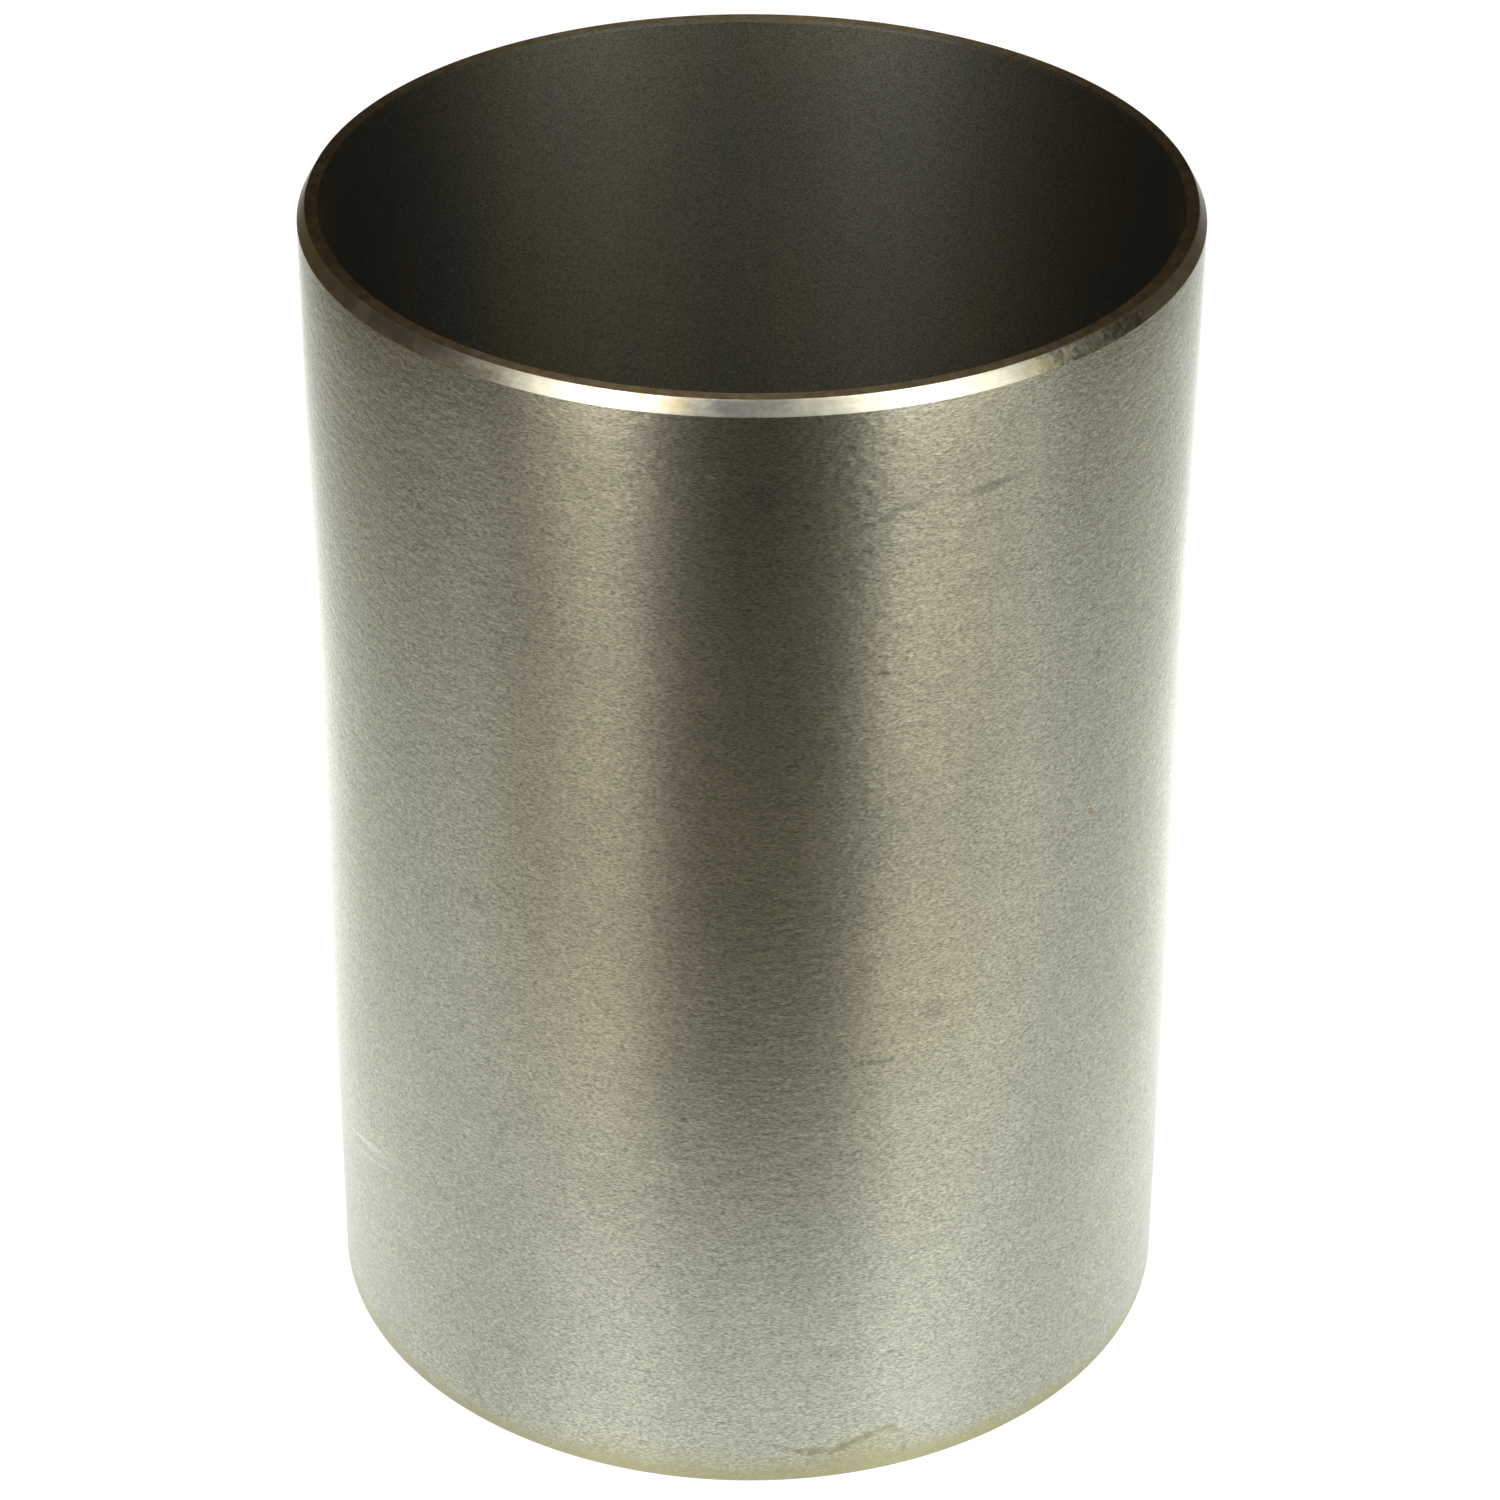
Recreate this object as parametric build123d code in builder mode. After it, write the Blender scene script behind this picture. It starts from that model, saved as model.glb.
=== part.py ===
"""A dry cylinder liner: one plain turned sleeve with a lead-in at its upper end.

Every surface is turned about Z, the axis of the bore. The origin is the centre of the lower end, on
the plane that the liner stands on, so the wall runs from z = 0 up to the liner's length.
"""

import math
import os

from build123d import *

# Driving dimensions, in millimetres and degrees.
bore_diameter = 89.0
wall_thickness = 2.5
liner_length = 133.0
lead_in_length = 1.5  # measured along the axis, on the outside of the upper end
lead_in_angle = 30.0  # between the lead-in cone and the axis
bore_edge_break = 0.3  # 45 degrees, at both ends of the bore
foot_edge_break = 0.2  # 45 degrees, on the outside of the lower end

# Worked out from the driving dimensions.
bore_radius = bore_diameter / 2
lead_in_depth = lead_in_length * math.tan(math.radians(lead_in_angle))

# The liner is turned as it would be in a lathe: first a plain tube, then its edges, one end after
# the other. An end face has two round edges, and the smaller one is the mouth of the bore.
with BuildPart() as cylinder_liner:
    with BuildSketch(Plane.XZ) as wall_section:
        with Locations((bore_radius, 0)):
            Rectangle(wall_thickness, liner_length, align=(Align.MIN, Align.MIN))
    revolve(axis=Axis.Z)

    # The lead-in is a long, shallow cone that guides the liner into its parent bore. The flat land
    # that it leaves on the end face is narrower than the wall.
    upper_end = cylinder_liner.faces().sort_by(Axis.Z).last
    outside = cylinder_liner.faces().filter_by(GeomType.CYLINDER).sort_by(SortBy.AREA).last
    upper_rim = upper_end.edges().sort_by(SortBy.RADIUS).last
    chamfer(upper_rim, length=lead_in_length, length2=lead_in_depth, reference=outside)

    # The other three edges are only broken, so that no burr is left on them.
    end_faces = cylinder_liner.faces().filter_by(Axis.Z)
    chamfer([end.edges().sort_by(SortBy.RADIUS).first for end in end_faces], length=bore_edge_break)
    lower_end = cylinder_liner.faces().sort_by(Axis.Z).first
    chamfer(lower_end.edges().sort_by(SortBy.RADIUS).last, length=foot_edge_break)

cylinder_liner.part.label = "cylinder_liner"

os.makedirs("parts", exist_ok=True)
export_step(cylinder_liner.part, "parts/cylinder_liner.step")
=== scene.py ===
# %% [markdown]
# # A dry cylinder liner
#
# A dry liner is a thin iron sleeve that is pressed into an engine block, so that the piston runs on
# new metal. It is turned from one casting. Its outside is ground, its bore is left plain, and a
# shallow cone on one end leads it into the block. All that there is to see is machined metal, so
# nearly all of its look comes from how each surface was cut and from what it reflects.

import math

import bpy
import numpy as np
from mathutils import Matrix, Vector


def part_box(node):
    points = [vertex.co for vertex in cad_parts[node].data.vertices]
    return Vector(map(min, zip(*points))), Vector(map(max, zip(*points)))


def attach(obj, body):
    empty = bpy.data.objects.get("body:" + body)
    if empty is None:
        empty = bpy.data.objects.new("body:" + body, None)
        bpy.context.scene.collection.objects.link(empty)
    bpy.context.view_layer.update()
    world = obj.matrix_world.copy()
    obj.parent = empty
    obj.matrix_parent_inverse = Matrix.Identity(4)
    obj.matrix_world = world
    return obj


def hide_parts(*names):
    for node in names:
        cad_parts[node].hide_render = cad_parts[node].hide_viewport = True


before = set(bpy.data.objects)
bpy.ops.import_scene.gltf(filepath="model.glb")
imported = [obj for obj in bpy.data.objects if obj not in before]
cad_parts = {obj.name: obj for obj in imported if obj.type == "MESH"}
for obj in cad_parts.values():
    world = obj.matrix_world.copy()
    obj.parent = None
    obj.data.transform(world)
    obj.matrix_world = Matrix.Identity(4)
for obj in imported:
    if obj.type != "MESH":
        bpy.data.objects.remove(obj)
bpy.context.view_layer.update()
LINER = "cylinder_liner"
lowest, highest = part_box(LINER)
print("the liner's box runs from", tuple(lowest), "to", tuple(highest))

# %% [markdown]
# ## Sizes
#
# The outside radius and the length are read from the frame. The wall and the edges repeat the
# solid's own sizes, here in metres. Only the tiny rounding of each arris is new: a cutting tool
# never leaves an edge of no width, and that sliver of curve is what catches the light.

# %% Sizes of the turned sleeve, in metres
OUTSIDE_RADIUS = highest.x
LENGTH = highest.z
WALL = 0.0025
LEAD_IN_LENGTH = 0.0015
LEAD_IN_ANGLE = math.radians(30)
LEAD_IN_DEPTH = LEAD_IN_LENGTH * math.tan(LEAD_IN_ANGLE)
BORE_BREAK = 0.0003
FOOT_BREAK = 0.0002
ARRIS_RADIUS = 0.00006
BORE_RADIUS = OUTSIDE_RADIUS - WALL
MM = 0.001
print(f"outside {2 * OUTSIDE_RADIUS / MM:.1f} mm across, bore {2 * BORE_RADIUS / MM:.1f} mm across,"
      f" length {LENGTH / MM:.1f} mm")

# %% [markdown]
# ## Camera
#
# The camera looks down at the sleeve from the front, from a little over half a metre, so the
# nearer upper end looks wider than the foot. The camera's three directions are worked out first.
# Then they become the columns of its matrix, which leaves no doubt about the order of rotations.

# %% Camera
CAMERA_DISTANCE = 0.4596
CAMERA_HEIGHT = 0.3498
LOOK_DOWN = math.radians(31.773)
CAMERA_ROLL = math.radians(0.209)
LENS_MM = 117.24
SENSOR_MM = 36.0
NEAREST_SEEN = 0.01

ahead = Vector((0, math.cos(LOOK_DOWN), -math.sin(LOOK_DOWN)))
level = Vector((1, 0, 0))
upward = level.cross(ahead)
camera_x = math.cos(CAMERA_ROLL) * level + math.sin(CAMERA_ROLL) * upward
camera_y = -math.sin(CAMERA_ROLL) * level + math.cos(CAMERA_ROLL) * upward
camera_data = bpy.data.cameras.new("camera")
camera_data.lens = LENS_MM
camera_data.sensor_width = SENSOR_MM
camera_data.clip_start = NEAREST_SEEN
camera = bpy.data.objects.new("camera", camera_data)
bpy.context.scene.collection.objects.link(camera)
camera.matrix_world = (
    Matrix.Translation((0, -CAMERA_DISTANCE, CAMERA_HEIGHT))
    @ Matrix((camera_x, camera_y, -ahead)).transposed().to_4x4()
)
bpy.context.scene.camera = camera
print("the camera stands at", tuple(round(v, 4) for v in camera.matrix_world.translation))

# %% [markdown]
# ## The section of the wall
#
# A lathe makes surfaces of revolution, so the whole sleeve is one closed line, the section of its
# wall, swept once round the axis. The line has eight corners. Each stretch between two corners is
# a surface of its own with its own finish, so the stretches are kept apart by number.


# %% The section as corners, then as rows of points
FINISHES = ("ground outside", "turned cone", "faced end", "plain bore")
GROUND, CONE, FACED, BORE = range(len(FINISHES))
# Each corner, the finish of the stretch that follows it, and the steps that stretch is cut into.
SECTION = (
    ((OUTSIDE_RADIUS, FOOT_BREAK), GROUND, 20),
    ((OUTSIDE_RADIUS, LENGTH - LEAD_IN_LENGTH), CONE, 5),
    ((OUTSIDE_RADIUS - LEAD_IN_DEPTH, LENGTH), FACED, 5),
    ((BORE_RADIUS + BORE_BREAK, LENGTH), BORE, 1),
    ((BORE_RADIUS, LENGTH - BORE_BREAK), BORE, 14),
    ((BORE_RADIUS, BORE_BREAK), FACED, 1),
    ((BORE_RADIUS + BORE_BREAK, 0.0), FACED, 3),
    ((OUTSIDE_RADIUS - FOOT_BREAK, 0.0), FACED, 1),
)
ARRIS_STEPS = 3


def rounded_section(section, radius, steps):
    """The closed line through the corners, with each corner replaced by a small curve.

    The curve is a quadratic: it starts and ends at the radius' distance from the corner along the
    two stretches, and it is pulled towards the corner by the weights (1-t)^2, 2t(1-t) and t^2.
    Returns the points and, for each, the finish of the stretch to the next point.
    """
    corners = np.array([corner for corner, _, _ in section])
    points, finishes = [], []
    for k, (_, finish, cuts) in enumerate(section):
        here, before, after = corners[k], corners[k - 1], corners[(k + 1) % len(section)]
        start = here + radius * (before - here) / np.linalg.norm(before - here)
        end = here + radius * (after - here) / np.linalg.norm(after - here)
        far = after + radius * (here - after) / np.linalg.norm(here - after)
        t = np.linspace(0, 1, steps + 1)[:, None]
        bend = (1 - t) ** 2 * start + 2 * t * (1 - t) * here + t**2 * end
        straight = end + np.linspace(0, 1, cuts + 1)[1:-1, None] * (far - end)
        points += [bend, straight]
        finishes += [section[k - 1][1]] * (steps // 2) + [finish] * (steps - steps // 2 + cuts)
    return np.concatenate(points), np.array(finishes)


section_points, section_finish = rounded_section(SECTION, ARRIS_RADIUS, ARRIS_STEPS)
for number, finish in enumerate(FINISHES):
    print(finish, "has", np.count_nonzero(section_finish == number), "of the section's steps")

# %% [markdown]
# ## Sweeping the section round the axis
#
# The sweep is a grid: one row for each point of the section, one column for each small turn. A
# point's place is its radius times the sine and cosine of the turn, and its height. The grid
# closes on itself both ways, so the sleeve has no seam to close and no pole.

# %% The sleeve's grid of points
COLUMNS = 1200
turns = np.linspace(-math.pi, math.pi, COLUMNS, endpoint=False)


def spin(points, turns):
    """Every section point at every turn: x = r sin(turn), y = -r cos(turn), z = height.

    A turn of nothing faces the camera, and turns grow to the right.
    """
    radius, height = points[:, 0][:, None], points[:, 1][:, None]
    ones = np.ones_like(turns)[None, :]
    return np.stack([radius * np.sin(turns), -radius * np.cos(turns), height * ones], axis=-1)


sleeve_points = spin(section_points, turns)
print("grid of", sleeve_points.shape[0], "rows and", sleeve_points.shape[1], "columns")


# %% The grid becomes a mesh
def grid_mesh(name, points, finishes, section):
    """A mesh of quads on a grid that closes both ways, with a UV map named "turned".

    Its u is the turn, from 0 to 1, and its v is the distance along the section, in metres.
    """
    rows, columns = points.shape[:2]
    row, column = np.meshgrid(np.arange(rows), np.arange(columns), indexing="ij")
    next_row, next_column = (row + 1) % rows, (column + 1) % columns
    corners = [
        row * columns + column,
        row * columns + next_column,
        next_row * columns + next_column,
        next_row * columns + column,
    ]
    quads = np.stack(corners, axis=-1).reshape(-1, 4)
    mesh = bpy.data.meshes.new(name)
    mesh.from_pydata(points.reshape(-1, 3), [], quads.tolist())

    steps = np.linalg.norm(np.roll(section, -1, axis=0) - section, axis=1)
    along = np.concatenate([[0.0], np.cumsum(steps)])
    u = np.stack([column, column + 1, column + 1, column], axis=-1) / columns
    v = np.stack([along[row], along[row], along[row + 1], along[row + 1]], axis=-1)
    uv = mesh.uv_layers.new(name="turned")
    uv.data.foreach_set("uv", np.stack([u, v], axis=-1).reshape(-1).astype(np.float32))

    mesh.polygons.foreach_set("material_index", np.repeat(finishes, columns).astype(np.int32))
    mesh.polygons.foreach_set("use_smooth", np.ones(rows * columns, dtype=bool))
    mesh.update()
    return mesh


sleeve_mesh = grid_mesh("liner_sleeve", sleeve_points, section_finish, section_points)
sleeve = bpy.data.objects.new("liner_sleeve", sleeve_mesh)
bpy.context.scene.collection.objects.link(sleeve)
print("the sleeve has", 2 * len(sleeve_mesh.polygons), "triangles")

# %% [markdown]
# ## Small helpers for shader nodes
#
# A material is a graph. These helpers add one node at a time and take either a number or another
# node's output for each input, so that a formula reads from left to right.


# %% Node helpers
def put(tree, socket, value):
    """Sets a socket to a value, or links it if the value is another node's output."""
    if isinstance(value, bpy.types.NodeSocket):
        tree.links.new(value, socket)
    elif socket.type == "RGBA":
        socket.default_value = (*value, 1.0)
    else:
        socket.default_value = value


def add(tree, kind, inputs=None, **settings):
    """One node, with its settings, and its inputs by name or number."""
    node = tree.nodes.new(kind)
    for name, value in settings.items():
        setattr(node, name, value)
    for name, value in (inputs or {}).items():
        put(tree, node.inputs[name], value)
    return node


def calc(tree, operation, *values, clamp=False):
    """The result of a Math node."""
    settings = {"operation": operation, "use_clamp": clamp}
    return add(tree, "ShaderNodeMath", dict(enumerate(values)), **settings).outputs[0]


def calc_vector(tree, operation, *values):
    """The vector that a Vector Math node gives."""
    inputs = dict(enumerate(values))
    return add(tree, "ShaderNodeVectorMath", inputs, operation=operation).outputs[0]


def ramp(tree, value, low, high, from_result=0.0, to_result=1.0):
    """A smooth step from one result to another while the value goes from low to high."""
    inputs = {0: value, 1: low, 2: high, 3: from_result, 4: to_result}
    return add(tree, "ShaderNodeMapRange", inputs, interpolation_type="SMOOTHSTEP").outputs[0]


def mix_colours(tree, share, first, second, way="MIX"):
    """Two colours mixed by a share: 0 gives the first and 1 the second."""
    inputs = {0: share, 6: first, 7: second}
    return add(tree, "ShaderNodeMix", inputs, data_type="RGBA", blend_type=way).outputs[2]


def new_group(name, inputs, output):
    """An empty node group, with the outputs of its inner start and the socket of its inner end.

    The inputs are {name: default}, and each default is a number or a vector.
    """
    tree = bpy.data.node_groups.new(name, "ShaderNodeTree")
    for socket, default in inputs.items():
        kind = "NodeSocketVector" if isinstance(default, tuple) else "NodeSocketFloat"
        tree.interface.new_socket(socket, in_out="INPUT", socket_type=kind).default_value = default
    tree.interface.new_socket(output, in_out="OUTPUT", socket_type="NodeSocketFloat")
    given = tree.nodes.new("NodeGroupInput").outputs
    return tree, given, tree.nodes.new("NodeGroupOutput").inputs[output]


def use_group(tree, group, **inputs):
    """A group placed in a material with its own values. Gives the group's one result."""
    node = tree.nodes.new("ShaderNodeGroup")
    node.node_tree = group
    for name, value in inputs.items():
        put(tree, node.inputs[name], value)
    return node.outputs[0]


def sharpen(tree, noise, contrast):
    """A noise drawn apart from its middle: contrast * (noise - 1/2) + 1/2, held between 0 and 1."""
    centred = calc(tree, "SUBTRACT", noise, 0.5)
    return calc(tree, "MULTIPLY_ADD", centred, contrast, 0.5, clamp=True)


print("the helpers for nodes are ready")


# %% [markdown]
# ## Turning lines
#
# A cutting tool or a grinding wheel leaves fine lines round the work. Each line is long round the
# axis and very narrow across it. A noise of four numbers does this. Three are the place, which
# changes slowly. The fourth is the distance along the section, which changes fast.


# %% Group: turning lines
def make_turning_lines():
    """noise(place / run, distance along the section / spacing), from 0 to 1."""
    sockets = {"spacing": 0.0002, "run": 0.006, "detail": 2.0, "contrast": 1.5}
    tree, given, result = new_group("turning_lines", sockets, "lines")
    place = add(tree, "ShaderNodeTexCoord").outputs["Object"]
    slow = add(tree, "ShaderNodeVectorMath", {0: place}, operation="SCALE")
    put(tree, slow.inputs["Scale"], calc(tree, "DIVIDE", 1.0, given["run"]))
    turned = add(tree, "ShaderNodeUVMap", uv_map="turned").outputs["UV"]
    along = add(tree, "ShaderNodeSeparateXYZ", {0: turned}).outputs["Y"]
    inputs = {
        "Vector": slow.outputs[0],
        "W": calc(tree, "DIVIDE", along, given["spacing"]),
        "Scale": 1.0,
        "Detail": given["detail"],
    }
    noise = add(tree, "ShaderNodeTexNoise", inputs, noise_dimensions="4D").outputs["Fac"]
    put(tree, result, sharpen(tree, noise, given["contrast"]))
    return tree


turning_lines = make_turning_lines()
print("made the node group", turning_lines.name)

# %% [markdown]
# ## Clouds
#
# Bare iron is never of one tone. Thin oil and the first breath of rust make soft clouds in it. The
# clouds may be drawn out upwards, where oil has run. The shift picks another pattern.


# %% Group: clouds
CLOUD_DETAIL = 2.0


def make_clouds():
    """noise(place / size), from 0 to 1, with the height divided by the stretch first."""
    sockets = {"size": 0.01, "contrast": 2.0, "stretch": 1.0, "shift": 0.0}
    tree, given, result = new_group("clouds", sockets, "clouds")
    place = add(tree, "ShaderNodeTexCoord").outputs["Object"]
    lower = calc(tree, "DIVIDE", 1.0, given["stretch"])
    squeeze = add(tree, "ShaderNodeCombineXYZ", {0: 1.0, 1: 1.0, 2: lower})
    inputs = {
        "Vector": calc_vector(tree, "MULTIPLY", place, squeeze.outputs[0]),
        "W": given["shift"],
        "Scale": calc(tree, "DIVIDE", 1.0, given["size"]),
        "Detail": CLOUD_DETAIL,
    }
    noise = add(tree, "ShaderNodeTexNoise", inputs, noise_dimensions="4D").outputs["Fac"]
    put(tree, result, sharpen(tree, noise, given["contrast"]))
    return tree


clouds = make_clouds()
print("made the node group", clouds.name)

# %% [markdown]
# ## Marks
#
# Handling leaves marks at single places: a smear of oil, a rust spot, a scratch. Each could be
# painted by hand, but an ellipse with a ragged edge is close enough at this size. It lies on the
# unrolled surface, with a middle, a tilt and half sizes. Noise added to the distance from the
# middle makes its edge ragged. One group draws any of them.


# %% Group: mark
def make_mark():
    """How far a place is inside a ragged ellipse, from 0 to 1.

    The place is measured along the surface in metres: x round the sleeve from the front, and y
    along the section. It is inside where length((place - middle) / half_size) + uneven is below 1.
    """
    sockets = {
        "place": (0.0, 0.0, 0.0),
        "middle": (0.0, 0.0, 0.0),
        "tilt": (0.0, 0.0, 0.0),
        "half_size": (0.001, 0.001, 1.0),
        "softness": 0.5,
        "uneven": 0.0,
    }
    tree, given, result = new_group("mark", sockets, "mask")
    inputs = {
        "Vector": given["place"],
        "Location": given["middle"],
        "Rotation": given["tilt"],
        "Scale": given["half_size"],
    }
    laid = add(tree, "ShaderNodeMapping", inputs, vector_type="TEXTURE").outputs[0]
    reach = add(tree, "ShaderNodeVectorMath", {0: laid}, operation="LENGTH").outputs["Value"]
    reach = calc(tree, "ADD", reach, given["uneven"])
    inner = calc(tree, "SUBTRACT", 1.0, given["softness"])
    outer = calc(tree, "ADD", 1.0, given["softness"])
    put(tree, result, ramp(tree, reach, inner, outer, 1.0, 0.0))
    return tree


mark = make_mark()
print("made the node group", mark.name)


# %% Laying a list of marks over a colour
RAGGED_EDGE = {"size": 0.0007, "contrast": 2.2, "stretch": 0.6, "shift": 3.0}


def unrolled(tree):
    """Where a point is on the unrolled surface, in metres, measured from the front and the foot."""
    turned = add(tree, "ShaderNodeUVMap", uv_map="turned").outputs["UV"]
    across = 2 * math.pi * OUTSIDE_RADIUS
    front_and_foot = (-across / 2, FOOT_BREAK, 0.0)
    return calc_vector(tree, "MULTIPLY_ADD", turned, (across, 1.0, 0.0), front_and_foot)


def lay_marks(tree, colour, marks):
    """The colour with the marks over it, and how much mark lies at each place.

    A mark is (turn in degrees, height, half length and half width in mm, tilt in degrees, softness,
    raggedness, tone, share). Its edge is made ragged by one noise that all marks share.
    """
    place = unrolled(tree)
    rag = calc(tree, "SUBTRACT", use_group(tree, clouds, **RAGGED_EDGE), 0.5)
    covered = 0.0
    for turn, height, half_length, half_width, tilt, softness, raggedness, tone, share in marks:
        mask = use_group(
            tree,
            mark,
            place=place,
            middle=(math.radians(turn) * OUTSIDE_RADIUS, height * MM, 0.0),
            tilt=(0.0, 0.0, math.radians(tilt)),
            half_size=(half_length * MM, half_width * MM, 1.0),
            softness=softness,
            uneven=calc(tree, "MULTIPLY", rag, raggedness),
        )
        mask = calc(tree, "MULTIPLY", mask, share)
        colour = mix_colours(tree, mask, colour, tone)
        covered = calc(tree, "ADD", mask, covered)
    return colour, covered


print("marks are laid with edges made ragged by clouds of", RAGGED_EDGE["size"] / MM, "mm")


# %% [markdown]
# ## Four finishes
#
# Each stretch of the section gets its own material. Lines that run round the sleeve scatter light
# up and down but hardly sideways, which draws a lamp out into an upright band. Thousands of real
# grooves would do it too, but the shader's anisotropy does it without them. Its tangent runs round
# the sleeve, and a quarter turn stands the wide side upright.


# %% A metal with its highlights drawn out
QUARTER_TURN = 0.25


def new_metal(name, roughness, anisotropy):
    """A material with a metal shader. Anisotropy 0 blurs alike both ways, and 1 only upright."""
    material = bpy.data.materials.new(name)
    material.use_nodes = True
    tree = material.node_tree
    shader = next(node for node in tree.nodes if node.type == "BSDF_PRINCIPLED")
    shader.inputs["Metallic"].default_value = 1.0
    shader.inputs["Roughness"].default_value = roughness
    shader.inputs["Anisotropic"].default_value = anisotropy
    shader.inputs["Anisotropic Rotation"].default_value = QUARTER_TURN
    around = add(tree, "ShaderNodeTangent", direction_type="UV_MAP", uv_map="turned")
    put(tree, shader.inputs["Tangent"], around.outputs[0])
    return material, tree, shader


def vary(tree, colour, *masks):
    """A colour made lighter and darker by (mask, amount): colour * (1 + amount * (mask - 1/2))."""
    for mask, amount in masks:
        lift = calc(tree, "MULTIPLY_ADD", calc(tree, "SUBTRACT", mask, 0.5), amount, 1.0)
        grey = add(tree, "ShaderNodeCombineColor", {0: lift, 1: lift, 2: lift}).outputs[0]
        colour = mix_colours(tree, 1.0, colour, grey, "MULTIPLY")
    return colour


def rough_round(tree, middle, mask, spread):
    """A roughness that changes round its middle: middle + spread * (mask - 1/2)."""
    return calc(tree, "MULTIPLY_ADD", mask, spread, middle - spread / 2)


# %% [markdown]
# ## The ground outside
#
# A grinding wheel finished the outside, so it has a fine grain and hardly any lines. A painted
# picture would do for one view, but it would blur close by. Noise worked out at each point stays
# sharp, so the tone is built up from noises: a grain finer than a hair, faint lines, slow haze
# where oil has dried, and a warm foot that stood in something wet. The marks go on last.

# %% Tones of what lies on the iron
OIL = (0.115, 0.110, 0.095)
BROWN = (0.230, 0.180, 0.110)
OLIVE = (0.230, 0.200, 0.095)
TAN = (0.405, 0.355, 0.195)
RUST = (0.400, 0.240, 0.080)
STRAW = (0.520, 0.430, 0.190)
# Slate is a grey mottle; on the cone it also serves as painted shade over part of a lamp's glint.
SLATE_AND_PAINTED_SHADE = (0.240, 0.260, 0.260)
SCRATCH = (0.780, 0.790, 0.730)
WIPED = (0.520, 0.530, 0.480)
print("oil is the darkest tone,", OIL, "and a scratch the lightest,", SCRATCH)

# %% Marks on the ground outside
# turn, height, half length, half width, tilt, softness, raggedness, tone, share
WALL_MARKS = (
    (14.3, 119.1, 0.75, 0.28, 0, 0.5, 0.8, OIL, 0.55),
    (16.4, 119.7, 1.5, 0.45, 14, 0.8, 1.6, OIL, 0.50),
    (19.8, 120.7, 2.2, 0.30, 12, 0.8, 1.2, OIL, 0.38),
    (29.8, 120.8, 2.8, 0.46, 6, 0.7, 1.0, OIL, 0.50),
    (14.4, 116.4, 0.8, 0.45, 0, 0.7, 1.0, OIL, 0.45),
    (16.4, 102.1, 0.55, 0.28, -20, 0.5, 0.8, OIL, 0.62),
    (17.2, 127.8, 0.40, 0.34, 0, 0.6, 0.6, OIL, 0.55),
    (1.8, 123.1, 1.6, 1.4, 0, 0.9, 1.0, OIL, 0.22),
    (6.5, 119.5, 0.35, 0.28, 0, 0.6, 0.6, OIL, 0.35),
    (16.5, 55.0, 2.0, 0.28, 0, 0.8, 1.4, OIL, 0.36),
    (24.0, 60.1, 1.2, 1.1, 0, 0.7, 1.0, OIL, 0.24),
    (-8.3, 48.6, 0.38, 0.32, 0, 0.5, 0.4, OIL, 0.60),
    (-16.7, 111.1, 0.28, 0.26, 0, 0.5, 0.4, OIL, 0.50),
    (-16.6, 112.9, 2.9, 0.14, -6, 0.8, 1.2, OIL, 0.36),
    (22.5, 30.0, 0.3, 2.6, 0, 0.9, 1.0, OIL, 0.14),
    (49.0, 96.2, 0.45, 0.4, 0, 0.6, 0.7, OIL, 0.28),
    (-32.4, 72.6, 1.5, 0.22, -24, 0.7, 0.8, BROWN, 0.42),
    (-37.2, 70.4, 1.3, 0.30, -18, 0.8, 1.2, BROWN, 0.32),
    (-24.6, 116.4, 0.45, 0.3, 0, 0.6, 0.8, BROWN, 0.40),
    (-23.0, 106.6, 0.35, 0.3, 0, 0.6, 0.8, BROWN, 0.36),
    (49.0, 77.0, 0.4, 0.35, 0, 0.6, 0.5, RUST, 0.40),
    (22.1, 89.8, 0.4, 0.35, 0, 0.6, 0.5, RUST, 0.34),
    (-4.7, 125.0, 0.5, 0.15, -8, 0.5, 0.4, SCRATCH, 0.75),
    (-53.4, 110.2, 0.7, 0.12, -25, 0.5, 0.4, SCRATCH, 0.50),
    (-66.5, 25.6, 5.0, 0.26, 17, 0.7, 1.2, SCRATCH, 0.50),
    (-63.0, 24.6, 6.5, 0.20, 17, 0.8, 1.2, SCRATCH, 0.32),
    (-61.0, 26.6, 4.5, 0.50, 17, 0.9, 1.2, SCRATCH, 0.20),
    (-56.0, 22.0, 6.5, 2.6, 12, 0.9, 1.2, WIPED, 0.28),
    (-63.0, 9.5, 8.5, 3.2, 6, 0.9, 1.2, WIPED, 0.28),
    (24.5, 8.8, 5.0, 3.4, 0, 0.9, 1.2, WIPED, 0.28),
)
# Where the foot stood in something wet: a dried patch with a darker line along its edge.
FOOT_MARKS = (
    (15.0, 2.4, 5.4, 2.4, 6, 0.6, 1.2, TAN, 0.42),
    (29.5, 1.2, 4.5, 1.3, 0, 0.8, 1.2, TAN, 0.40),
    (-8.0, 1.6, 14.0, 2.0, 0, 0.9, 1.2, TAN, 0.35),
    (4.8, 4.7, 2.3, 0.28, -17, 0.8, 1.4, OLIVE, 0.36),
    (9.2, 3.8, 2.0, 0.38, -9, 0.8, 1.4, OLIVE, 0.50),
    (12.6, 4.0, 1.2, 0.34, 25, 0.8, 1.4, OLIVE, 0.40),
    (16.5, 5.25, 2.4, 0.42, 18, 0.8, 1.4, OLIVE, 0.46),
    (20.1, 5.3, 1.0, 0.34, -40, 0.8, 1.4, OLIVE, 0.38),
    (21.5, 2.9, 0.32, 1.6, 0, 0.8, 1.4, OLIVE, 0.26),
)
print(len(WALL_MARKS) + len(FOOT_MARKS), "marks on the wall")

# %% The ground outside's tones and amounts
GROUND_TONE = (0.452, 0.452, 0.370)
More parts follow.
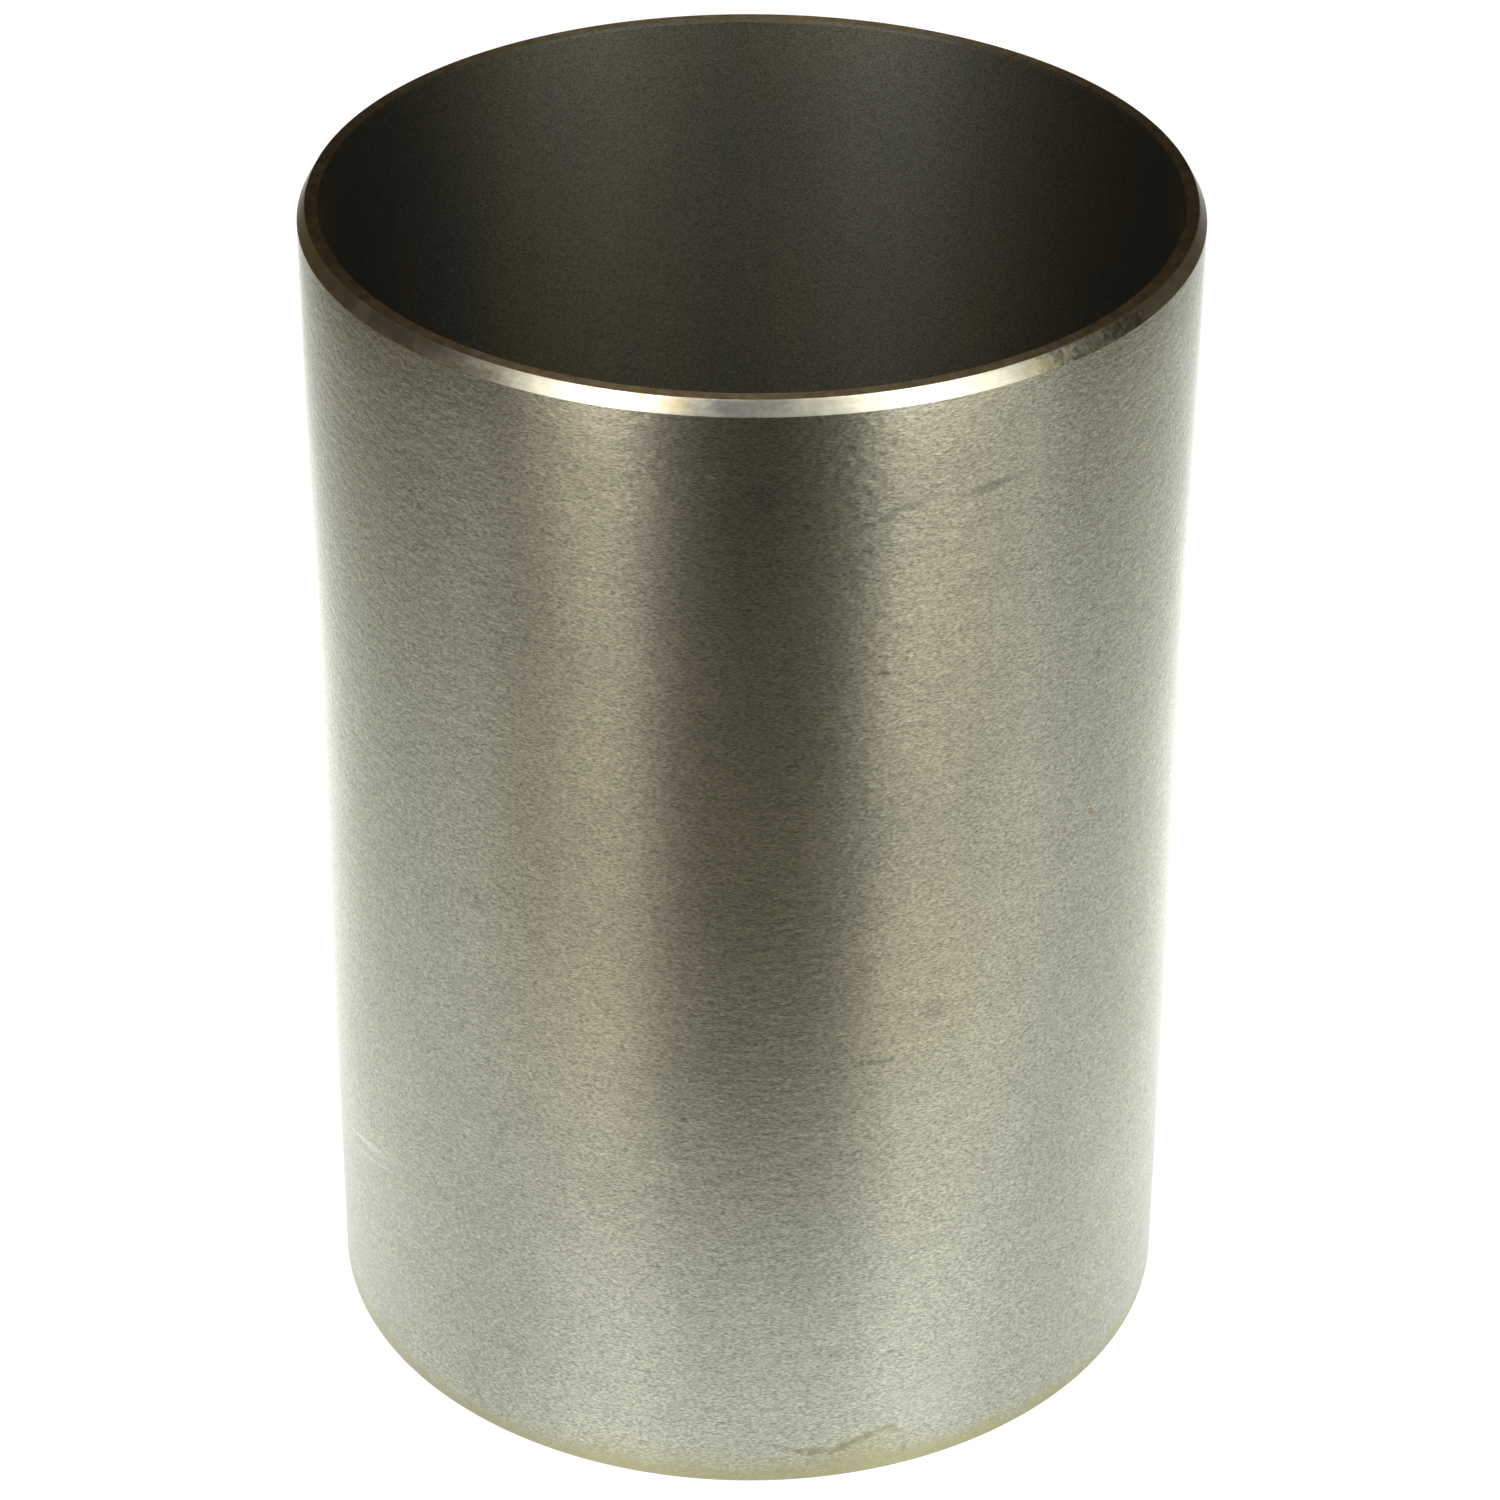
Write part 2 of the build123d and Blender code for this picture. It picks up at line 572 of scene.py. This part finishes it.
# The warmer tone is partly tarnish and partly a painted reflection of the dim warm room.
GROUND_TARNISH_AND_REFLECTION = (0.470, 0.430, 0.318)
FOOT_TINT = (0.405, 0.375, 0.215)
GROUND_ROUGHNESS, GROUND_SPREAD, GROUND_ANISOTROPY = 0.34, 0.03, 0.82
MARK_ROUGHNESS = 0.05
# How much each noise lightens and darkens the tone.
GRAIN, LINES, HAZE, BLOTCH = 0.85, 0.09, 0.08, 0.07
# The warm patch, partly a tarnish and partly a painted reflection of the dim warm room that the
# wall's upper front mirrors: the heights between which it comes in, its least share and what the
# haze adds to it, and how far to each side of the front it fades, down to a last share.
WARM_FROM, WARM_TO, WARM_LEAST, WARM_HAZE = 0.020, 0.070, 0.4, 0.5
WARM_FRONT, WARM_SIDES, WARM_LAST = 0.020, 0.040, 0.2
# The damp foot: full tint below one height, none above the other, and how ragged its edge is.
DAMP_BELOW, DAMP_ABOVE, DAMP_SHARE, DAMP_RAGGED = 0.0004, 0.0030, 0.8, 0.0016
RELIEF_DEPTH = 0.000035
print(f"damp up to {DAMP_ABOVE / MM:.1f} mm, warm from {WARM_FROM / MM:.0f} mm to {WARM_TO / MM:.0f} mm")

# %% Material: the ground outside
ground_outside, tree, shader = new_metal("ground_outside", GROUND_ROUGHNESS, GROUND_ANISOTROPY)
grain = use_group(tree, turning_lines, spacing=0.00013, run=0.00042, detail=1.0, contrast=2.4)
waves = use_group(tree, turning_lines, spacing=0.0009, run=0.0013, detail=2.0, contrast=1.6)
lines = use_group(tree, turning_lines, spacing=0.0005, run=0.016, detail=2.0, contrast=2.4)
haze = use_group(tree, clouds, size=0.018, contrast=2.4, stretch=1.8)
blotch = use_group(tree, clouds, size=0.0035, contrast=2.0, stretch=1.2, shift=7.0)
at = add(tree, "ShaderNodeSeparateXYZ", {0: unrolled(tree)}).outputs
height, aside = at["Y"], calc(tree, "ABSOLUTE", at["X"])
# Painted reflection: the upper front, where the wall mirrors the dim warm room, gets a warmer base
# colour, partly tarnish.
warm = calc(tree, "MULTIPLY_ADD", haze, WARM_HAZE, WARM_LEAST)
warm = calc(tree, "MULTIPLY", ramp(tree, height, WARM_FROM, WARM_TO), warm)
warm = calc(tree, "MULTIPLY", warm, ramp(tree, aside, WARM_FRONT, WARM_SIDES, 1.0, WARM_LAST))
tone = mix_colours(tree, warm, GROUND_TONE, GROUND_TARNISH_AND_REFLECTION)
tone = vary(tree, tone, (grain, GRAIN), (lines, LINES), (haze, HAZE), (blotch, BLOTCH))
damp = calc(tree, "MULTIPLY_ADD", calc(tree, "SUBTRACT", blotch, 0.5), DAMP_RAGGED, height)
damp = ramp(tree, damp, DAMP_BELOW, DAMP_ABOVE, DAMP_SHARE, 0.0)
tone = mix_colours(tree, damp, tone, FOOT_TINT)
tone, covered = lay_marks(tree, tone, WALL_MARKS + FOOT_MARKS)
put(tree, shader.inputs["Base Color"], tone)
rough = rough_round(tree, GROUND_ROUGHNESS, haze, GROUND_SPREAD)
rough = calc(tree, "MULTIPLY_ADD", covered, MARK_ROUGHNESS, rough)
put(tree, shader.inputs["Roughness"], rough)
relief = add(tree, "ShaderNodeBump", {"Height": waves, "Distance": RELIEF_DEPTH, "Strength": 1.0})
put(tree, shader.inputs["Normal"], relief.outputs[0])
print("ground_outside has", len(tree.nodes), "nodes")

# %% [markdown]
# ## The cone
#
# The cone was turned with a single point tool and is smoother than the wall, so the lamps show in
# it as bright patches. Handling has stained it in small spots. Where the tool chattered, short
# strokes run across the lines.


# %% Group: chatter strokes
STROKES_FROM, STROKES_TO = 0.40, 0.62


def make_chatter():
    """Strokes across the turning lines: noise((x + slant * y) / spacing), pushed to 0 and 1.

    The place is on the unrolled surface: x runs round the sleeve and y along the section.
    """
    sockets = {"place": (0.0, 0.0, 0.0), "spacing": 0.0005, "slant": 0.3}
    tree, given, result = new_group("chatter", sockets, "strokes")
    at = add(tree, "ShaderNodeSeparateXYZ", {0: given["place"]}).outputs
    leaning = calc(tree, "MULTIPLY_ADD", at["Y"], given["slant"], at["X"])
    inputs = {"W": calc(tree, "DIVIDE", leaning, given["spacing"]), "Scale": 1.0, "Detail": 2.0}
    noise = add(tree, "ShaderNodeTexNoise", inputs, noise_dimensions="1D").outputs["Fac"]
    put(tree, result, ramp(tree, noise, STROKES_FROM, STROKES_TO))
    return tree


chatter = make_chatter()
print("made the node group", chatter.name)

# %% The cone's tones, amounts and marks
CONE_TONE = (0.470, 0.452, 0.368)
CONE_BURNT = (0.150, 0.125, 0.070)
CONE_ROUGHNESS, CONE_SPREAD, CONE_ANISOTROPY = 0.40, 0.08, 0.52
CONE_LINES, CONE_STAIN, CONE_MOTTLE = 0.15, 0.20, 0.12
# The cone's middle, as a distance along the section in mm. The marks are as on the wall.
CONE_MIDDLE = (LENGTH - LEAD_IN_LENGTH + LEAD_IN_LENGTH / math.cos(LEAD_IN_ANGLE) / 2) / MM
CONE_MARKS = (
    (-8.6, CONE_MIDDLE + 0.1, 1.3, 0.6, 0, 0.7, 0.9, STRAW, 0.65),
    (-13.0, CONE_MIDDLE + 0.6, 0.4, 0.3, 0, 0.6, 0.6, RUST, 0.60),
    # Grey mottling at the front; the wide slate mark also dims the left lamp's glint there, as painted
    # shade.
    (-4.0, CONE_MIDDLE + 0.2, 0.9, 0.5, 0, 0.6, 0.9, SLATE_AND_PAINTED_SHADE, 0.60),
    (-1.5, CONE_MIDDLE, 4.2, 1.2, 0, 0.8, 1.2, SLATE_AND_PAINTED_SHADE, 0.62),
    (15.5, CONE_MIDDLE + 0.2, 0.6, 0.4, 0, 0.6, 0.6, BROWN, 0.25),
    (37.0, CONE_MIDDLE - 0.1, 2.0, 0.5, 0, 0.8, 1.0, STRAW, 0.50),
    (-34.0, CONE_MIDDLE - 0.3, 2.4, 0.5, 0, 0.8, 1.4, BROWN, 0.60),
    (-44.0, CONE_MIDDLE, 4.5, 0.9, 0, 0.8, 1.4, BROWN, 0.30),
)

# The burnt patch is flecked: so much of it by chatter strokes and the rest by the mottle.
BURNT_PLACE = (math.radians(46) * OUTSIDE_RADIUS, CONE_MIDDLE * MM, 0.0)
BURNT_HALF_SIZE, BURNT_SOFTNESS, BURNT_BY_STROKES = (0.009, 0.004, 1.0), 0.35, 0.25
print("the cone's middle is", round(CONE_MIDDLE, 2), "mm along the section")

# %% Material: the turned cone
turned_cone, tree, shader = new_metal("turned_cone", CONE_ROUGHNESS, CONE_ANISOTROPY)
place = unrolled(tree)
lines = use_group(tree, turning_lines, spacing=0.00012, run=0.010, detail=2.0, contrast=2.0)
stain = use_group(tree, clouds, size=0.0022, contrast=2.6, stretch=0.7, shift=1.0)
strokes = use_group(tree, chatter, place=place, spacing=0.0004, slant=0.35)
mottle = use_group(tree, clouds, size=0.0007, contrast=4.0, stretch=0.8, shift=4.0)
burnt = use_group(
    tree,
    mark,
    place=place,
    middle=BURNT_PLACE,
    half_size=BURNT_HALF_SIZE,
    softness=BURNT_SOFTNESS,
)
tone = vary(tree, CONE_TONE, (lines, CONE_LINES), (stain, CONE_STAIN), (mottle, CONE_MOTTLE))
flecks = calc(tree, "MULTIPLY", mottle, 1.0 - BURNT_BY_STROKES)
flecks = calc(tree, "MULTIPLY_ADD", strokes, BURNT_BY_STROKES, flecks)
tone = mix_colours(tree, calc(tree, "MULTIPLY", burnt, flecks), tone, CONE_BURNT)
tone, _ = lay_marks(tree, tone, CONE_MARKS)
put(tree, shader.inputs["Base Color"], tone)
put(tree, shader.inputs["Roughness"], rough_round(tree, CONE_ROUGHNESS, stain, CONE_SPREAD))
print("turned_cone has", len(CONE_MARKS), "marks and", len(tree.nodes), "nodes")

# %% [markdown]
# ## The faced ends and the bore
#
# The ends were faced and then left bare, and they have browned. The bore was left plain: it is
# rougher than the outside, with a film of old oil on it, and its tone is far darker, partly as
# painted shade of the deep bore.

# %% Material: the faced ends
FACED_TONE = (0.280, 0.215, 0.128)
FACED_DARK = (0.150, 0.112, 0.062)
FACED_ROUGHNESS, FACED_ANISOTROPY = 0.55, 0.6
FACED_LINES, FACED_STROKES = 0.25, 0.12

faced_end, tree, shader = new_metal("faced_end", FACED_ROUGHNESS, FACED_ANISOTROPY)
place = unrolled(tree)
lines = use_group(tree, turning_lines, spacing=0.00015, run=0.006, detail=2.0, contrast=2.0)
stain = use_group(tree, clouds, size=0.0016, contrast=2.2, stretch=1.0, shift=2.0)
strokes = use_group(tree, chatter, place=place, spacing=0.0009, slant=-0.3)
tone = mix_colours(tree, stain, FACED_TONE, FACED_DARK)
tone = vary(tree, tone, (lines, FACED_LINES), (strokes, FACED_STROKES))
put(tree, shader.inputs["Base Color"], tone)
print("faced_end has", len(tree.nodes), "nodes")

# %% Material: the plain bore
# Painted shade: the bore's base colour is far darker than the outside's, standing partly for the shade
# inside the sleeve.
BORE_TONE_AND_SHADE = (0.094, 0.096, 0.079)
BORE_WARM_AND_SHADE = (0.098, 0.088, 0.058)
BORE_ROUGHNESS, BORE_ANISOTROPY = 0.66, 0.68
BORE_GRAIN, BORE_HAZE = 1.0, 0.16

plain_bore, tree, shader = new_metal("plain_bore", BORE_ROUGHNESS, BORE_ANISOTROPY)
grain = use_group(tree, turning_lines, spacing=0.00018, run=0.00022, detail=1.0, contrast=2.0)
haze = use_group(tree, clouds, size=0.012, contrast=2.6, stretch=3.0, shift=5.0)
tone = mix_colours(tree, haze, BORE_TONE_AND_SHADE, BORE_WARM_AND_SHADE)
tone = vary(tree, tone, (grain, BORE_GRAIN), (haze, BORE_HAZE))
put(tree, shader.inputs["Base Color"], tone)
print("plain_bore has", len(tree.nodes), "nodes")

# %% The materials go on in the order of the section's finishes
for material in (ground_outside, turned_cone, faced_end, plain_bore):
    sleeve_mesh.materials.append(material)
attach(sleeve, "root")
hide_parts(LINER)
print("finishes:", ", ".join(material.name for material in sleeve_mesh.materials))

# %% [markdown]
# ## The stage
#
# The sleeve stands on a pale sheet in a dim room, between two tall softboxes. Bare metal has
# hardly any colour of its own, so every tone on it is a picture of this stage. Low on the wall it
# shows the sheet. Higher up it looks past the sheet's front edge and shows the table and the dim
# room. The softboxes draw the two bright bands.


# %% Making things of the stage
def emission(tree, colour, strength):
    """An Emission shader, with each input a value or an output."""
    return add(tree, "ShaderNodeEmission", {"Color": colour, "Strength": strength}).outputs[0]


def stage_material(name):
    """A material with nothing in it but its output. Gives the socket that the surface goes to."""
    material = bpy.data.materials.new(name)
    material.use_nodes = True
    tree = material.node_tree
    tree.nodes.clear()
    return material, tree, tree.nodes.new("ShaderNodeOutputMaterial").inputs["Surface"]


def stage_piece(name, corners, material):
    """One flat face of the stage."""
    mesh = bpy.data.meshes.new(name)
    mesh.from_pydata(corners, [], [tuple(range(len(corners)))])
    mesh.materials.append(material)
    piece = bpy.data.objects.new(name, mesh)
    bpy.context.scene.collection.objects.link(piece)
    return piece


WHITE = (1.0, 1.0, 1.0)
print("each piece of the stage is one flat face, and plain white is", WHITE)


# %% [markdown]
# ### The softboxes
#
# A softbox is a cloth window with a lamp behind it, brighter in some parts than in others. An area
# lamp is even all over and its edge is hard, so each softbox is a glowing face whose strength
# changes across it and fades out at its rim. The metal's wide scatter picks up all its height.

# %% The sizes of the two softboxes
LAMP_DISTANCE = 0.80
LAMP_TOP, LAMP_FADE = 3.20, 0.04
# Between two heights each grows brighter, and its right side draws in by a share of its half width.
UPPER_FROM, UPPER_TO, UPPER_LIFT = 0.60, 1.40, 2.5
UPPER_TAPER = {"left_softbox": 0.6, "right_softbox": 1.5}
# For each: its turn from the camera's side and the half angle it fills, both in degrees, the
# height of its lower edge, its strength, how much more its right side gives than its middle,
# where across its half width it starts to fade, and its colour.
LAMPS = {
    "left_softbox": (-41.0, 15.6, 0.126, 5.2, 0.90, 0.89, (1.03, 0.995, 0.95)),
    "right_softbox": (51.3, 23.2, 0.008, 3.7, -0.66, 0.83, (0.99, 1.00, 0.96)),
}
print("the softboxes stand", LAMP_DISTANCE, "m away and reach up to", LAMP_TOP, "m")

# %% The two softboxes
for name, (turn, half_angle, foot, strength, lean, fade_from, colour) in LAMPS.items():
    turn = math.radians(turn)
    half_width = LAMP_DISTANCE * math.tan(math.radians(half_angle))
    material, tree, surface = stage_material(name)
    place = add(tree, "ShaderNodeTexCoord").outputs["Object"]
    place = add(tree, "ShaderNodeSeparateXYZ", {0: place}).outputs
    across = calc(tree, "DIVIDE", place["X"], half_width)
    glow = calc(tree, "MULTIPLY_ADD", across, lean, 1.0)
    upper = ramp(tree, place["Z"], UPPER_FROM, UPPER_TO)
    glow = calc(tree, "MULTIPLY", glow, calc(tree, "MULTIPLY_ADD", upper, UPPER_LIFT, 1.0))
    outer = calc(tree, "MULTIPLY_ADD", upper, UPPER_TAPER[name], across)
    glow = calc(tree, "MULTIPLY", glow, ramp(tree, outer, fade_from, 1.0, 1.0, 0.0))
    glow = calc(tree, "MULTIPLY", glow, ramp(tree, across, -1.0, -fade_from))
    glow = calc(tree, "MULTIPLY", glow, ramp(tree, place["Z"], foot, foot + LAMP_FADE))
    put(tree, surface, emission(tree, colour, calc(tree, "MULTIPLY", glow, strength)))
    outline = ((-1, foot), (1, foot), (1, LAMP_TOP), (-1, LAMP_TOP))
    corners = [(x * half_width, 0, z) for x, z in outline]
    lamp = stage_piece(name, corners, material)
    spot = Vector((math.sin(turn), -math.cos(turn), 0)) * LAMP_DISTANCE
    facing = (-spot).to_track_quat("Y", "Z").to_matrix().to_4x4()
    lamp.matrix_world = Matrix.Translation(spot) @ facing
    lamp.visible_camera = False
print("softboxes:", ", ".join(LAMPS))

# %% [markdown]
# ### The sheet
#
# Seen by the camera the sheet is plain white with a faint shadow. Seen in the metal it has edges,
# and it is brighter behind the sleeve than in front of it, as a sheet that is lit from behind is.
# The dark table shows past its front edge, and catches a little warm light close to it. A Light
# Path node tells the camera's rays from the mirrored ones, so that one floor can serve both.

# %% The sheet's edges and tones
FLOOR_HALF = 4.0
SHEET_LEFT, SHEET_RIGHT, SHEET_FADE = -0.230, 0.286, 0.062
SHEET_FRONT, SHEET_FRONT_FADE = -0.1006, 0.006
# Brighter behind the sleeve, but less so out to the sides.
BACK_LIFT, BACK_FROM, BACK_TO = 4.0, -0.008, 0.183
SIDE_NEAR, SIDE_FAR, SIDE_FALL = 0.060, 0.170, 0.96
# A little brighter close round the foot, and along the middle.
FOOT_LIFT, FOOT_FROM, FOOT_TO = 0.54, -0.050, 0.010
FOOT_NEAR, FOOT_FAR = 0.060, 0.120
MIDDLE_LIFT, MIDDLE_WIDTH = 0.16, 0.045
SHEET_TONE = (0.965, 1.0, 0.970)
SHEET_GLOW, SHEET_SHADE = 0.96, (0.15, 0.15, 0.15)
TABLE_TONE, TABLE_FAR_TONE = (0.105, 0.066, 0.017), (0.006, 0.005, 0.004)
TABLE_NEAR, TABLE_FAR = -0.095, -0.200
PAPER = (0.8, 0.8, 0.8)
# The sheet and its copy inside lie a hair below the foot, so that no two faces share a place.
SHEET_DROP, INSIDE_DROP = 0.00002, 0.00001
print("the sheet runs from", SHEET_LEFT, "to", SHEET_RIGHT, "m across")

# %% What the metal sees of the sheet
floor_material, tree, surface = stage_material("pale_floor")
place = add(tree, "ShaderNodeTexCoord").outputs["Object"]
away = add(tree, "ShaderNodeVectorMath", {0: place}, operation="LENGTH").outputs["Value"]
place = add(tree, "ShaderNodeSeparateXYZ", {0: place}).outputs
left = ramp(tree, place["X"], SHEET_LEFT - SHEET_FADE, SHEET_LEFT + SHEET_FADE)
right = ramp(tree, place["X"], SHEET_RIGHT - SHEET_FADE, SHEET_RIGHT + SHEET_FADE, 1.0, 0.0)
front = ramp(tree, place["Y"], SHEET_FRONT - SHEET_FRONT_FADE, SHEET_FRONT + SHEET_FRONT_FADE)
on_sheet = calc(tree, "MULTIPLY", calc(tree, "MULTIPLY", left, right), front)
beside = ramp(tree, calc(tree, "ABSOLUTE", place["X"]), SIDE_NEAR, SIDE_FAR, 1.0, 1.0 - SIDE_FALL)
behind = ramp(tree, place["Y"], BACK_FROM, BACK_TO, 0.0, BACK_LIFT)
lift = calc(tree, "MULTIPLY_ADD", behind, beside, 1.0)
near = ramp(tree, place["Y"], FOOT_FROM, FOOT_TO, 0.0, FOOT_LIFT)
near = calc(tree, "MULTIPLY", near, ramp(tree, away, FOOT_NEAR, FOOT_FAR, 1.0, 0.0))
lift = calc(tree, "ADD", lift, near)
middle = ramp(tree, calc(tree, "ABSOLUTE", place["X"]), 0.0, MIDDLE_WIDTH, MIDDLE_LIFT, 0.0)
lift = calc(tree, "ADD", lift, middle)
white = add(tree, "ShaderNodeCombineColor", {0: lift, 1: lift, 2: lift}).outputs[0]
white = mix_colours(tree, 1.0, white, SHEET_TONE, "MULTIPLY")
table = ramp(tree, place["Y"], TABLE_FAR, TABLE_NEAR)
table = mix_colours(tree, table, TABLE_FAR_TONE, TABLE_TONE)
mirrored = emission(tree, mix_colours(tree, on_sheet, table, white), 1.0)
print("the mirrored sheet takes", len(tree.nodes), "nodes")

# %% What the camera sees of the sheet
paper = add(tree, "ShaderNodeBsdfDiffuse", {"Color": PAPER}).outputs[0]
shade = add(tree, "ShaderNodeBsdfDiffuse", {"Color": SHEET_SHADE}).outputs[0]
glow = emission(tree, WHITE, SHEET_GLOW)
seen = add(tree, "ShaderNodeAddShader", {0: glow, 1: shade}).outputs[0]
rays = add(tree, "ShaderNodeLightPath").outputs
in_mirror = calc(tree, "MAXIMUM", rays["Is Glossy Ray"], rays["Is Transmission Ray"])
shown = add(tree, "ShaderNodeMixShader", {0: rays["Is Camera Ray"], 1: paper, 2: seen}).outputs[0]
shown = add(tree, "ShaderNodeMixShader", {0: in_mirror, 1: shown, 2: mirrored}).outputs[0]
put(tree, surface, shown)
corners = [(x * FLOOR_HALF, y * FLOOR_HALF, 0) for x, y in ((-1, -1), (1, -1), (1, 1), (-1, 1))]
floor = stage_piece("floor", corners, floor_material)
floor.location.z = -SHEET_DROP
print("the floor is", 2 * FLOOR_HALF, "m on a side")

# %% [markdown]
# ### The sheet inside the sleeve
#
# The wall hides the glowing sheet from the bore. Only the light that falls in through the mouth
# reaches the bottom, so a plain disc of paper lies there instead.

# %% The disc of paper inside
RING_STEPS = 180
inner_material, tree, surface = stage_material("sheet_inside")
put(tree, surface, add(tree, "ShaderNodeBsdfDiffuse", {"Color": PAPER}).outputs[0])
ring = np.linspace(0, 2 * math.pi, RING_STEPS, endpoint=False)
inner = BORE_RADIUS + WALL / 2
corners = [(inner * math.sin(t), -inner * math.cos(t), 0) for t in ring]
inner_floor = stage_piece("sheet_inside", corners, inner_material)
inner_floor.location.z = -INSIDE_DROP
print("the disc is", round(2 * inner / MM, 1), "mm across")

# %% [markdown]
# ### The dim room
#
# The rest of the room is one dim, warm tone. It fills the dark band between the softboxes. The
# camera itself sees plain white past the edge of the floor.

# %% The world
ROOM_TONE = (0.059, 0.049, 0.033)

world = bpy.data.worlds.new("dim_room")
bpy.context.scene.world = world
world.use_nodes = True
tree = world.node_tree
tree.nodes.clear()
dim = add(tree, "ShaderNodeBackground", {"Color": ROOM_TONE}).outputs[0]
plain = add(tree, "ShaderNodeBackground", {"Color": WHITE}).outputs[0]
rays = add(tree, "ShaderNodeLightPath").outputs
mixed = add(tree, "ShaderNodeMixShader", {0: rays["Is Camera Ray"], 1: dim, 2: plain}).outputs[0]
put(tree, tree.nodes.new("ShaderNodeOutputWorld").inputs["Surface"], mixed)
print("the room's tone is", ROOM_TONE)

# %% [markdown]
# ## The picture
#
# The Standard view shows each tone as it is written. The finished sleeve has to be no bigger than
# the solid that it stands for.

# %% The view
bpy.context.scene.view_settings.view_transform = "Standard"
